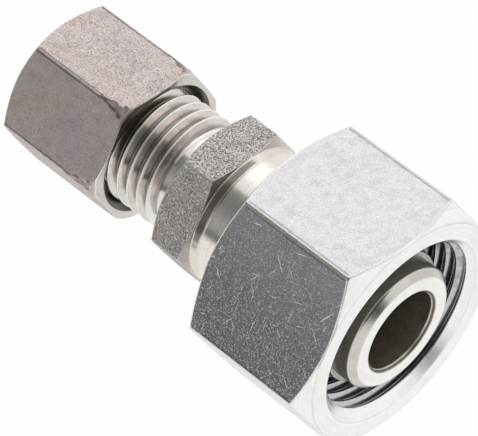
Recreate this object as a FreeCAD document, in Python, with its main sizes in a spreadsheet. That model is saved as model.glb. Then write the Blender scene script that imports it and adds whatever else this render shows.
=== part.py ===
"""Straight reducing insert for cone compression tube fittings.

The part joins an 8 mm tube to a 15 mm cone fitting. It is one turned body with a threaded
stud, a hexagon, a round collar and a long plain spigot. A union nut and a cutting ring sit at
each end. The axis runs along X, the open end of the large nut points along +X, and the part
lies on a flat of the large nut with +Z up. All sizes are in millimetres.
"""
import FreeCAD, Part
import os
import re

import Sketcher

# Driving sizes: alias, value, meaning. Stations are measured along the axis from the spigot face.
SIZES = [
    ("spigot_diameter", 15.0, "plain spigot that enters the large cone fitting"),
    ("spigot_bore", 9.6, "passage in the spigot"),
    ("spigot_nose_chamfer", 0.75, "outer chamfer on the spigot nose"),
    ("spigot_mouth_chamfer", 0.35, "inner chamfer at the mouth of the passage"),
    ("spigot_bore_depth", 24.0, "length of the wide passage"),
    ("passage_bore", 6.0, "narrow passage in the stud"),
    ("passage_cone_length", 2.0, "cone between the wide and the narrow passage"),
    ("collar_height", 0.8, "turned collar that stops the large nut, above the spigot"),
    ("collar_station", 17.2, "front face of the collar"),
    ("collar_chamfer", 0.4, "chamfer on the front of the collar"),
    ("hexagon_flats", 17.0, "body hexagon, across flats"),
    ("hexagon_station", 23.4, "front shoulder of the body hexagon"),
    ("hexagon_width", 4.7, "body hexagon along the axis"),
    ("shoulder_ramp", 1.0, "ramp from the collar to the shoulder cone, along the axis"),
    ("shoulder_inset", 0.05, "foot of the shoulder cone, inside the flats"),
    ("shoulder_run", 0.5, "shoulder cone along the axis, from its foot to a corner"),
    ("hexagon_chamfer_inset", 0.1, "chamfer circle on the back of the hexagon, inside the flats"),
    ("hexagon_chamfer_run", 0.8, "back chamfer along the axis at a corner"),
    ("stud_diameter", 14.0, "thread crests of the stud"),
    ("stud_length", 11.5, "stud from the back of the hexagon to its end"),
    ("stud_end_chamfer", 0.8, "chamfer on the first thread"),
    ("undercut_depth", 1.05, "thread undercut beside the hexagon, below the thread crests"),
    ("undercut_width", 2.0, "floor of the undercut"),
    ("undercut_ramp", 0.7, "ramp from the undercut to the thread crests, along the axis"),
    ("thread_pitch", 1.5, "pitch of the stud's thread, which is modelled as rings"),
    ("thread_groove_depth", 0.92, "groove between two crests of the stud"),
    ("thread_start", 1.2, "first groove behind the undercut ramp"),
    ("mouth_diameter", 10.0, "wide end of the sealing cone in the stud"),
    ("mouth_half_angle", 12.0, "half angle of the sealing cone, in degrees"),
    ("socket_gap", 0.05, "gap round the small tube in its socket, on the radius"),
    ("socket_depth", 7.0, "tube stop below the end of the stud"),
    ("large_nut_flats", 27.0, "large nut, across flats"),
    ("large_nut_length", 17.0, "large nut along the axis"),
    ("large_nut_station", 0.0, "open face of the large nut behind the spigot face"),
    ("large_nut_turn", 0.0, "turn of the large nut about the axis, in degrees"),
    ("large_front_inset", 0.1, "chamfer circle on the open face, inside the flats"),
    ("large_front_run", 1.25, "chamfer at the open face, along the axis at a corner"),
    ("large_back_inset", 0.1, "chamfer circle on the closed face, inside the flats"),
    ("large_back_run", 1.25, "chamfer at the closed face, along the axis at a corner"),
    ("large_thread_room", 2.7, "room between the spigot and the thread of the large nut"),
    ("large_thread_depth", 10.4, "threaded depth of the large nut"),
    ("large_entry_chamfer", 1.15, "entry chamfer of the large nut"),
    ("large_seat_room", 0.2, "how far the driving cone starts outside the shoulder of the large ring"),
    ("large_tube_gap", 0.08, "gap round the spigot in the large nut, on the radius"),
    ("large_seat_gap", 0.08, "gap between the large nut and its ring, along the axis"),
    ("large_ring_length", 8.6, "large cutting ring along the axis"),
    ("large_ring_edge", 0.55, "wall of the large ring at its cutting edge"),
    ("large_ring_waist", 1.3, "wall of the large ring at its waist"),
    ("large_ring_shoulder", 1.6, "wall of the large ring at its shoulder"),
    ("large_ring_rear", 0.6, "wall of the large ring at its rear face"),
    ("large_shoulder_width", 1.8, "shoulder of the large ring along the axis"),
    ("large_ring_gap", 0.0, "gap between the large ring and the spigot, on the radius"),
    ("small_nut_flats", 17.0, "small nut, across flats"),
    ("small_nut_length", 14.5, "small nut along the axis"),
    ("small_nut_engagement", 3.0, "how far the small nut reaches over the stud"),
    ("small_nut_turn", -1.5, "turn of the small nut about the axis, in degrees"),
    ("small_front_inset", -0.75, "chamfer circle on the thread face, outside the flats"),
    ("small_front_run", 3.7, "long taper at the thread face, along the axis at a corner"),
    ("small_back_inset", 0.1, "chamfer circle on the closed face, inside the flats"),
    ("small_back_run", 0.85, "chamfer at the closed face, along the axis at a corner"),
    ("small_thread_gap", 0.05, "gap round the thread crests of the stud, on the radius"),
    ("small_thread_depth", 8.8, "threaded depth of the small nut"),
    ("small_entry_chamfer", 0.7, "entry chamfer of the small nut"),
    ("small_seat_room", 0.2, "how far the driving cone starts outside the shoulder of the small ring"),
    ("small_tube_gap", 0.1, "gap round the small tube in the small nut, on the radius"),
    ("small_seat_gap", 0.08, "gap between the small nut and its ring, along the axis"),
    ("small_ring_length", 8.1, "small cutting ring along the axis"),
    ("small_ring_edge", 0.4, "wall of the small ring at its cutting edge"),
    ("small_ring_waist", 1.15, "wall of the small ring at its waist"),
    ("small_ring_shoulder", 1.65, "wall of the small ring at its shoulder"),
    ("small_ring_rear", 0.4, "wall of the small ring at its rear face"),
    ("small_shoulder_width", 1.6, "shoulder of the small ring along the axis"),
    ("small_ring_gap", 0.05, "gap between the small ring and the small tube, on the radius"),
    ("small_tube_diameter", 8.0, "tube that the small end takes"),
    ("nut_back_chamfer", 0.5, "inner chamfer on the closed face of each nut"),
    ("seat_half_angle", 45.0, "half angle of the cone that drives each ring, in degrees"),
    ("cutting_margin", 2.0, "how far a cutting profile reaches past what it cuts"),
]

HEXAGON_BACK = "(hexagon_station + hexagon_width)"
STUD_END = f"({HEXAGON_BACK} + stud_length)"
LARGE_NUT_FACE = "large_nut_station"
SMALL_NUT_FACE = f"({STUD_END} - small_nut_engagement)"

# The part reaches from the spigot face to the closed face of the small nut.
OVERALL = f"({SMALL_NUT_FACE} + small_nut_length)"

SHEET_LABEL = "Sizes"
PLANES = {"along": "XZ_Plane", "across": "YZ_Plane"}
ON_AXIS = "0"


class Scope:
    """Reads expressions whose words are aliases of the sheet, with or without a prefix."""

    def __init__(self, prefix=""):
        self.prefix = prefix
        self.aliases = {alias for alias, value, meaning in SIZES}

    def bound(self, expression):
        """Return the expression with each alias written as a reference to the sheet."""

        def reference(match):
            for word in (self.prefix + match.group(0), match.group(0)):
                if word in self.aliases:
                    return f"{SHEET_LABEL}.{word}"
            return match.group(0)

        return re.sub(r"[a-z]+(?:_[a-z]+)*", reference, expression)


def add_sheet(document):
    """Write the driving sizes into a spreadsheet, one alias to a row."""
    sheet = document.addObject("Spreadsheet::Sheet", SHEET_LABEL)
    for row, (alias, value, meaning) in enumerate(SIZES, start=1):
        sheet.set(f"A{row}", alias)
        sheet.set(f"B{row}", str(value))
        sheet.set(f"C{row}", meaning)
        sheet.setAlias(f"B{row}", alias)
    document.recompute()
    return sheet


def add_body(document, label, scope, station, turn="0"):
    """Start a body whose own origin lies on the axis, at a station behind the spigot face."""
    body = document.addObject("PartDesign::Body", label)
    body.Label = label
    body.setExpression("Placement.Base.x", scope.bound(f"{OVERALL} / 2 - ({station})"))
    body.setExpression("Placement.Base.z", scope.bound("large_nut_flats / 2"))
    body.Placement.Rotation = FreeCAD.Rotation(FreeCAD.Vector(1, 0, 0), 0)
    body.setExpression("Placement.Rotation.Angle", scope.bound(turn))
    return body


def origin_feature(body, role):
    """Return a plane or axis of the body's own origin."""
    return next(item for item in body.Origin.OriginFeatures if item.Role == role)


def add_profile(body, name, plane, scope, corners):
    """Draw a closed outline whose corners, given as pairs of expressions, are bound to the sheet."""
    sketch = body.newObject("Sketcher::SketchObject", name)
    sketch.AttachmentSupport = [(origin_feature(body, PLANES[plane]), "")]
    sketch.MapMode = "FlatFace"
    bound = [[scope.bound(value) for value in corner] for corner in corners]
    points = [FreeCAD.Vector(*(number(sketch, value) for value in corner), 0) for corner in bound]
    for index, start in enumerate(points):
        sketch.addGeometry(Part.LineSegment(start, points[(index + 1) % len(points)]))
    for index in range(len(points)):
        following = (index + 1) % len(points)
        sketch.addConstraint(Sketcher.Constraint("Coincident", index, 2, following, 1))
    for index, corner in enumerate(bound):
        pin_corner(sketch, index, corner)
    return sketch


def number(item, expression):
    """Work out an expression as a plain number."""
    value = item.evalExpression(expression)
    return float(getattr(value, "Value", value))


def pin_corner(sketch, index, corner):
    """Bind the start of one line of an outline to its two expressions."""
    for value, kind, axis in zip(corner, ("DistanceX", "DistanceY"), (-2, -1)):
        if value == ON_AXIS:
            sketch.addConstraint(Sketcher.Constraint("PointOnObject", index, 1, axis))
            continue
        distance = number(sketch, value)
        place = sketch.addConstraint(Sketcher.Constraint(kind, -1, 1, index, 1, distance))
        sketch.setExpression(f"Constraints[{place}]", value)


def turned(body, kind, name, scope, corners):
    """Add or cut a turned form: an outline of (along, radius) pairs, swept round the axis."""
    sketch = add_profile(body, f"{name}_profile", "along", scope, corners)
    feature = body.newObject(f"PartDesign::{kind}", name)
    feature.Profile = sketch
    feature.ReferenceAxis = (sketch, ["H_Axis"])
    feature.Angle = 360.0
    sketch.Visibility = False
    return feature


def hexagon(body, name, scope, flats, start, length):
    """Pad a hexagonal prism with a flat on top, from a place along the axis towards the back."""
    corner = f"{flats} / sqrt(3)"
    edge = f"{flats} / sqrt(3) / 2"
    half = f"{flats} / 2"
    outline = [
        (corner, ON_AXIS),
        (edge, half),
        (f"-{edge}", half),
        (f"-{corner}", ON_AXIS),
        (f"-{edge}", f"-{half}"),
        (edge, f"-{half}"),
    ]
    sketch = add_profile(body, f"{name}_profile", "across", scope, outline)
    if start != ON_AXIS:
        sketch.setExpression("AttachmentOffset.Base.z", scope.bound(f"-({start})"))
    pad = body.newObject("PartDesign::Pad", name)
    pad.Profile = sketch
    pad.setExpression("Length", scope.bound(length))
    pad.Reversed = True
    sketch.Visibility = False
    return pad


def corner_chamfer(body, name, scope, flats, inset, run, face, inward):
    """Cut the corners of a hexagon to a cone, from a chamfer circle on one of its faces.

    The circle lies inside the flats by the inset. face is the place of its face along the axis,
    and inward is the sign of the way into the hexagon. run is the length of the chamfer along
    the axis at a corner.
    """
    corner = f"{flats} / sqrt(3)"
    circle = f"({flats} / 2 - ({inset}))"
    outside = f"({corner} + cutting_margin)"
    reach = f"({outside} - {circle}) * {run} / ({corner} - {circle})"
    past = f"{face} - ({inward}) * cutting_margin"
    outline = [
        (face, circle),
        (f"{face} + ({inward}) * {reach}", outside),
        (past, outside),
        (past, circle),
    ]
    return turned(body, "Groove", name, scope, outline)


def fitting_body(document):
    """Model the one-piece body: spigot, collar, hexagon and stud, with the passage through it."""
    scope = Scope()
    body = add_body(document, "fitting_body", scope, ON_AXIS)
    lead = "(shoulder_ramp + shoulder_run)"
    hexagon(
        body, "hexagon", scope, "hexagon_flats", f"hexagon_station - {lead}", f"hexagon_width + {lead}"
    )
    outside = "(hexagon_flats / sqrt(3) + collar_height + cutting_margin)"
    spigot = "spigot_diameter / 2"
    collar = f"({spigot} + collar_height)"
    crest = "stud_diameter / 2"
    floor = f"({crest} - undercut_depth)"
    shoulder = [
        ("-hexagon_station", outside),
        ("-hexagon_station", "hexagon_flats / sqrt(3)"),
        ("-hexagon_station + shoulder_run", "hexagon_flats / 2 - shoulder_inset"),
        (f"-hexagon_station + {lead}", collar),
        (f"-hexagon_station + {lead} + cutting_margin", collar),
        (f"-hexagon_station + {lead} + cutting_margin", outside),
    ]
    turned(body, "Groove", "hexagon_shoulder", scope, shoulder)
    corner_chamfer(
        body, "hexagon_chamfer", scope, "hexagon_flats", "hexagon_chamfer_inset",
        "hexagon_chamfer_run", f"-{HEXAGON_BACK}", "1",
    )
    outline = [
        (ON_AXIS, ON_AXIS),
        (ON_AXIS, f"{spigot} - spigot_nose_chamfer"),
        ("-spigot_nose_chamfer", spigot),
        ("-collar_station", spigot),
        ("-collar_station", f"{collar} - collar_chamfer"),
        ("-collar_station - collar_chamfer", collar),
        ("-hexagon_station", collar),
        ("-hexagon_station", floor),
        (f"-{HEXAGON_BACK} - undercut_width", floor),
        (f"-{HEXAGON_BACK} - undercut_width - undercut_ramp", crest),
        (f"-{STUD_END} + stud_end_chamfer", crest),
        (f"-{STUD_END}", f"{crest} - stud_end_chamfer"),
        (f"-{STUD_END}", ON_AXIS),
    ]
    turned(body, "Revolution", "turned_outside", scope, outline)
    thread_rings(body, scope, f"({HEXAGON_BACK} + undercut_width + undercut_ramp)", crest)
    tube_stop = f"-({STUD_END} - socket_depth)"
    socket = "(small_tube_diameter / 2 + socket_gap)"
    cone_end = f"-{STUD_END} + (mouth_diameter / 2 - {socket}) / tan(mouth_half_angle * 1deg)"
    passage = [
        ("cutting_margin", ON_AXIS),
        ("cutting_margin", "spigot_bore / 2 + spigot_mouth_chamfer"),
        (ON_AXIS, "spigot_bore / 2 + spigot_mouth_chamfer"),
        ("-spigot_mouth_chamfer", "spigot_bore / 2"),
        ("-spigot_bore_depth", "spigot_bore / 2"),
        ("-spigot_bore_depth - passage_cone_length", "passage_bore / 2"),
        (tube_stop, "passage_bore / 2"),
        (tube_stop, socket),
        (cone_end, socket),
        (f"-{STUD_END}", "mouth_diameter / 2"),
        (f"-{STUD_END} - cutting_margin", "mouth_diameter / 2"),
        (f"-{STUD_END} - cutting_margin", ON_AXIS),
    ]
    turned(body, "Groove", "passage", scope, passage)
    return body


def thread_rings(body, scope, start, crest):
    """Cut the thread of the stud as evenly spaced ring grooves of the thread's own form.

    A groove is a plain vee that leaves an eighth of the pitch as a flat crest, and its flanks
    are drawn on past the crests. As many grooves are cut as fit in front of the end chamfer.
    """
    middle = f"-({start} + thread_start)"
    outside = f"({crest} + thread_groove_depth / 4)"
    spread = "(thread_pitch * 7 / 16 * 5 / 4)"
    groove = [
        (middle, f"{crest} - thread_groove_depth"),
        (f"{middle} + {spread}", outside),
        (f"{middle} - {spread}", outside),
    ]
    first = turned(body, "Groove", "thread_groove", scope, groove)
    room = "stud_length - undercut_width - undercut_ramp - stud_end_chamfer"
    count = f"floor(({room}) / thread_pitch)"
    rings = body.newObject("PartDesign::LinearPattern", "thread_rings")
    rings.Originals = [first]
    rings.Direction = (first.Profile[0], ["H_Axis"])
    rings.Reversed = True
    rings.setExpression("Length", scope.bound(f"({count} - 1) * thread_pitch"))
    rings.setExpression("Occurrences", scope.bound(count))
    body.Tip = rings
    return rings


def union_nut(document, end, face, held_diameter, thread_radius):
    """Model one union nut: a chamfered hexagon with a threaded bore and a driving cone."""
    scope = Scope(f"{end}_")
    body = add_body(document, f"{end}_union_nut", scope, face, "nut_turn")
    hexagon(body, "nut_hexagon", scope, "nut_flats", ON_AXIS, "nut_length")
    corner_chamfer(
        body, "front_chamfer", scope, "nut_flats", "front_inset", "front_run", "0 * nut_length", "-1"
    )
    corner_chamfer(
        body, "back_chamfer", scope, "nut_flats", "back_inset", "back_run", "-nut_length", "1"
    )
    hole = f"({held_diameter} / 2 + tube_gap)"
    seat = seat_radius(held_diameter)
    cone_end = f"-thread_depth - ({seat} - {hole}) / tan(seat_half_angle * 1deg)"
    bore = [
        ("cutting_margin", ON_AXIS),
        ("cutting_margin", f"{thread_radius} + entry_chamfer"),
        (ON_AXIS, f"{thread_radius} + entry_chamfer"),
        ("-entry_chamfer", thread_radius),
        ("-thread_depth", thread_radius),
        ("-thread_depth", seat),
        (cone_end, hole),
        ("-nut_length + nut_back_chamfer", hole),
        ("-nut_length", f"{hole} + nut_back_chamfer"),
        ("-nut_length - cutting_margin", f"{hole} + nut_back_chamfer"),
        ("-nut_length - cutting_margin", ON_AXIS),
    ]
    turned(body, "Groove", "bore", scope, bore)
    return body


def seat_radius(held_diameter):
    """Give the wide end of a nut's driving cone, just outside the shoulder of its ring."""
    return f"({held_diameter} / 2 + ring_gap + ring_shoulder + seat_room)"


def cutting_ring(document, end, nut_face, held_diameter):
    """Model one cutting ring: a sharp tapered nose, a waist and a coned rear shoulder."""
    scope = Scope(f"{end}_")
    hole = f"({held_diameter} / 2 + ring_gap)"
    drive = f"({seat_radius(held_diameter)} - {hole} - ring_rear) / tan(seat_half_angle * 1deg)"
    station = f"{nut_face} + thread_depth + {drive} - seat_gap - ring_length"
    body = add_body(document, f"{end}_cutting_ring", scope, station)
    taper = "-(ring_waist - ring_edge) / tan(mouth_half_angle * 1deg)"
    shoulder = "-ring_length + (ring_shoulder - ring_rear) / tan(seat_half_angle * 1deg)"
    waist = f"{shoulder} + shoulder_width + (ring_shoulder - ring_waist)"
    outline = [
        (ON_AXIS, hole),
        (ON_AXIS, f"{hole} + ring_edge"),
        (taper, f"{hole} + ring_waist"),
        (waist, f"{hole} + ring_waist"),
        (f"{shoulder} + shoulder_width", f"{hole} + ring_shoulder"),
        (shoulder, f"{hole} + ring_shoulder"),
        ("-ring_length", f"{hole} + ring_rear"),
        ("-ring_length", hole),
    ]
    turned(body, "Revolution", "ring", scope, outline)
    return body


def build(document):
    """Build the five pieces in the order in which they are assembled."""
    large_thread = "(spigot_diameter / 2 + thread_room)"
    small_thread = "(stud_diameter / 2 + thread_gap)"
    return [
        fitting_body(document),
        union_nut(document, "large", LARGE_NUT_FACE, "spigot_diameter", large_thread),
        cutting_ring(document, "large", LARGE_NUT_FACE, "spigot_diameter"),
        union_nut(document, "small", SMALL_NUT_FACE, "small_tube_diameter", small_thread),
        cutting_ring(document, "small", SMALL_NUT_FACE, "small_tube_diameter"),
    ]


def check(document, pieces):
    """Stop with a plain message if any object failed or any piece isn't one sound solid."""
    for item in document.Objects:
        if {"Invalid", "Error"} & set(item.State):
            raise RuntimeError(f"{item.Name} did not build: {item.State}")
    for piece in pieces:
        if piece.Shape.isNull() or not piece.Shape.isValid() or len(piece.Shape.Solids) != 1:
            raise RuntimeError(f"{piece.Label} is not one valid solid")


def main():
    """Build the document, check it and write one STEP file for each piece."""
    document = FreeCAD.newDocument("ReducingInsert")
    add_sheet(document)
    pieces = build(document)
    document.recompute()
    check(document, pieces)
    os.makedirs("parts", exist_ok=True)
    for piece in pieces:
        piece.Shape.exportStep(f"parts/{piece.Label}.step")
        box = piece.Shape.BoundBox
        print(f"{piece.Label}: volume {piece.Shape.Volume:.1f} mm3, x {box.XMin:.2f} to {box.XMax:.2f}")


main()
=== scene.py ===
"""Dressed model of a straight reducing insert for cone compression tube fittings.

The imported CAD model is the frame. Each turned or hexagonal piece is worked out again here as
one closed surface, with its real threads, rounded edges and steel finishes, and rides on the
CAD body that it belongs to. Sections are written in millimetres, as stations along the axis
behind the spigot face and radii from the axis.
"""

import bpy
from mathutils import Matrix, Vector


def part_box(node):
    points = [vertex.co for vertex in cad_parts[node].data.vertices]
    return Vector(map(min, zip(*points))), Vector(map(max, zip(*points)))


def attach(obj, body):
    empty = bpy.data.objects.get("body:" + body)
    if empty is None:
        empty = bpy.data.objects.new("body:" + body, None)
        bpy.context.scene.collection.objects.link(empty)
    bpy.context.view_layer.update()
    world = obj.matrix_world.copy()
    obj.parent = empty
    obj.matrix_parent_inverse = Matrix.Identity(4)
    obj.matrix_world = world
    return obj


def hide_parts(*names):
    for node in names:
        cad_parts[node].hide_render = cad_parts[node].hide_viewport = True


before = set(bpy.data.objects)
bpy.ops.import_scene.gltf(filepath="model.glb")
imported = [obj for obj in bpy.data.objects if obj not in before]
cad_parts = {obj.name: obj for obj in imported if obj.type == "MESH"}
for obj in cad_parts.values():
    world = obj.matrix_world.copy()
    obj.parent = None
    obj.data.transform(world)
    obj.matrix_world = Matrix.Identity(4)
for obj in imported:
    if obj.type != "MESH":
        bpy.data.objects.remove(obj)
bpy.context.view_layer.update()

import logging
import math
from collections.abc import Callable
from dataclasses import dataclass
from enum import Enum, IntEnum

import bpy
import numpy as np
from mathutils import Matrix, Vector

log = logging.getLogger("reducing_insert")

MM = 0.001
PITCH = 1.5
SIXTH = math.pi / 3.0
HALF_CONE = math.radians(12.0)
WHITE = (1.0, 1.0, 1.0)

# Rows of the grid in one pitch of a thread, and its columns on one flat and on one rounded corner.
THREAD_ROWS = 24
FLAT_COLUMNS = 26
ARC_COLUMNS = 9

# Distances from a crest, in pitches, where a thread's flank starts and ends. Then the share of
# its height over which both bends are rounded, and the length in millimetres where it fades.
FLANK_START, FLANK_END = 0.04, 0.42
BEND_WIDTH = 0.04
FADE_LENGTH = 0.5

# Steps of a rounding, the share of a run that it takes up at most, and the number of roundings
# from a corner at which a row keeps the shading of the run beyond it flat.
ROUNDING_STEPS = (0.0, 0.25, 0.5, 0.75, 1.0)
RUN_SHARE = 0.45
FLAT_FROM = 1.8

# Angles from a hexagon's corner, in angles of its rounding: wear and a painted highlight up to
# the first, a seam from the second to the third, and a plain flat from the fourth on.
CORNER_MARKS = (0.5, 1.0, 1.4, 2.2)

# Frequency of the clouds, per millimetre, and of the dots, per grain. Then how far each pattern
# varies the roughness, and how much the lathe marks darken.
CLOUD_SCALE, DOT_SCALE = 0.9, 0.8
CLOUD_GLOSS, DOT_GLOSS, RING_GLOSS = 0.12, 0.1, 0.12
RING_SHARE = 0.15

# Scales that press the spots of a noise to thin plates. Then the turn of each set of scratches
# about the three axes, and how fine the set is.
PLATE_SCALES = (0.45, 0.45, 9.0)
SCRATCH_SETS = (
    ((0.4, 0.3, 0.9), 1.0),
    ((1.2, 0.9, 2.2), 0.8),
    ((2.1, 1.7, 0.2), 1.2),
    ((0.2, 2.4, 1.5), 0.9),
)

Colour = tuple[float, float, float]
Values = float | np.ndarray


class Form(Enum):
    """The kind of surface that a run of a section makes."""

    TURNED = "turned"
    HEXAGON = "hexagon"
    THREAD = "thread"


def operator_pair(operation: str) -> tuple[Callable, Callable]:
    """Make an operator and its reflected form, which add a Math node on a signal and a value."""

    def plain(signal: "Signal", other: "Signal | float") -> "Signal":
        """Put the signal first."""
        return signal.graph.maths(operation, signal, other)

    def reflected(signal: "Signal", other: float) -> "Signal":
        """Put the signal second."""
        return signal.graph.maths(operation, other, signal)

    return plain, reflected


@dataclass(frozen=True)
class Signal:
    """One output socket in a node tree, on which arithmetic adds Math nodes."""

    graph: "Graph"
    socket: bpy.types.NodeSocket

    __add__, __radd__ = operator_pair("ADD")
    __sub__, __rsub__ = operator_pair("SUBTRACT")
    __mul__, __rmul__ = operator_pair("MULTIPLY")
    __truediv__, __rtruediv__ = operator_pair("DIVIDE")

    def between(self, low: float, high: float) -> "Signal":
        """Give 0 at low, 1 at high, and a smooth change in between."""
        inputs = {"Value": self, "From Min": low, "From Max": high}
        settings = {"interpolation_type": "SMOOTHSTEP"}
        return self.graph.signal("ShaderNodeMapRange", inputs, settings, "Result")


class Graph:
    """A node tree, with one method that adds any node and links or sets its inputs."""

    def __init__(self, owner: bpy.types.Material | bpy.types.World) -> None:
        """Turn on the nodes of a material or a world, and empty its tree."""
        owner.use_nodes = True
        self.tree = owner.node_tree
        self.tree.nodes.clear()

    def node(
        self, kind: str, inputs: dict | None = None, settings: dict | None = None
    ) -> bpy.types.Node:
        """Add a node.

        Args:
            kind: The node's type name.
            inputs: Values or signals, by the name or number of the input. A colour has three
                parts, and its alpha is 1.
            settings: Properties, which are set before the inputs.

        Returns:
            The new node.
        """
        node = self.tree.nodes.new(kind)
        for name, value in (settings or {}).items():
            setattr(node, name, value)
        for name, value in (inputs or {}).items():
            socket = node.inputs[name]
            if isinstance(value, Signal):
                self.tree.links.new(value.socket, socket)
            else:
                socket.default_value = (*value, 1.0) if socket.type == "RGBA" else value
        return node

    def signal(
        self, kind: str, inputs: dict | None = None, settings: dict | None = None, output=0
    ) -> Signal:
        """Add a node and return one of its outputs as a signal."""
        return Signal(self, self.node(kind, inputs, settings).outputs[output])

    def maths(
        self, operation: str, first: "Signal | float", second: "Signal | float" = 0.0
    ) -> Signal:
        """Add a Math node on two values."""
        return self.signal("ShaderNodeMath", {0: first, 1: second}, {"operation": operation})

    def vector(self, operation: str, first: Signal, second: tuple) -> Signal:
        """Add a Vector Math node on two vectors."""
        return self.signal("ShaderNodeVectorMath", {0: first, 1: second}, {"operation": operation})

    def blend(self, share: Signal, first: "Signal | Colour", second: Colour) -> Signal:
        """Mix two colours by a share from 0 to 1."""
        inputs = {0: share, 6: first, 7: second}
        return self.signal("ShaderNodeMix", inputs, {"data_type": "RGBA"}, 2)

    def noise(self, place: Signal, scale: float, detail: float, roughness: float = 0.5) -> Signal:
        """Add a noise pattern from 0 to 1."""
        inputs = {"Vector": place, "Scale": scale, "Detail": detail, "Roughness": roughness}
        return self.signal("ShaderNodeTexNoise", inputs)

    def mark(self, name: str, output: str = "Fac") -> Signal:
        """Read an attribute of the mesh."""
        return self.signal("ShaderNodeAttribute", None, {"attribute_name": name}, output)


@dataclass(frozen=True)
class Layer:
    """A layer of a finish: where in a pattern it shows, and what it does to the steel.

    Attributes:
        low: Value of the pattern at which the layer starts.
        high: Value at which it is full.
        clouds: How far the clouds shift the pattern.
        tone: The layer's colour.
        rougher: What the full layer adds to the roughness.
        deeper: How far it lies below the rest, in millimetres.
    """

    low: float
    high: float
    clouds: float = 0.0
    tone: Colour = (0.95, 0.95, 0.96)
    rougher: float = 0.0
    deeper: float = 0.0


STAINS = Layer(0.48, 0.68, 0.35)
TINTS = Layer(0.50, 0.34)
CLOUDS = Layer(0.4, 0.7, tone=(0.30, 0.29, 0.29))
DARK_DOTS = Layer(0.52, 0.66)
PALE_DOTS = Layer(0.48, 0.34)
PITS = Layer(0.56, 0.66)
RINGS = Layer(0.35, 0.75, tone=(0.30, 0.29, 0.28))
SCRATCHES = Layer(0.79, 0.86, rougher=0.5, deeper=0.003)
FLECKS = Layer(0.67, 0.76, 0.25, rougher=0.45)
# Painted shade: the roots of a thread turn near-black, where shade falls in the grooves.
ROOT_SHADE = Layer(0.5, 1.05, 0.3, (0.045, 0.036, 0.028), 0.25)
# Painted highlight: the crests of a thread turn pale, as thin bright lines.
CREST_HIGHLIGHTS = Layer(0.16, 0.02, tone=(0.96, 0.95, 0.92), rougher=0.35)
# Pale edges and rims: partly real wear, partly a painted highlight.
EDGE_WEAR_AND_HIGHLIGHTS = Layer(0.35, 0.85, 0.8)
# Dark seams, and painted shade where a zone's mark runs below 0.
SEAMS_AND_SHADE = Layer(0.2, 0.8, 1.2, (0.09, 0.075, 0.065))


@dataclass
class Coat:
    """The colour, roughness and height of a finish while its layers are laid on."""

    graph: Graph
    cloud: Signal
    colour: Signal | Colour
    roughness: Signal
    height: Signal

    def lay(self, layer: Layer, pattern: Signal, share: float, tone: Colour | None = None) -> None:
        """Lay on a layer where its pattern shows it.

        Args:
            layer: The layer.
            pattern: The pattern that it follows.
            share: How much it covers at most, from 0 to 1.
            tone: A colour that takes the place of the layer's own.
        """
        if layer.clouds:
            pattern = pattern + (self.cloud - 0.5) * layer.clouds
        shown = pattern.between(layer.low, layer.high) * share
        self.colour = self.graph.blend(shown, self.colour, tone or layer.tone)
        if layer.rougher:
            self.roughness = self.roughness + shown * layer.rougher
        if layer.deeper:
            self.height = self.height - shown * layer.deeper


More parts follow.
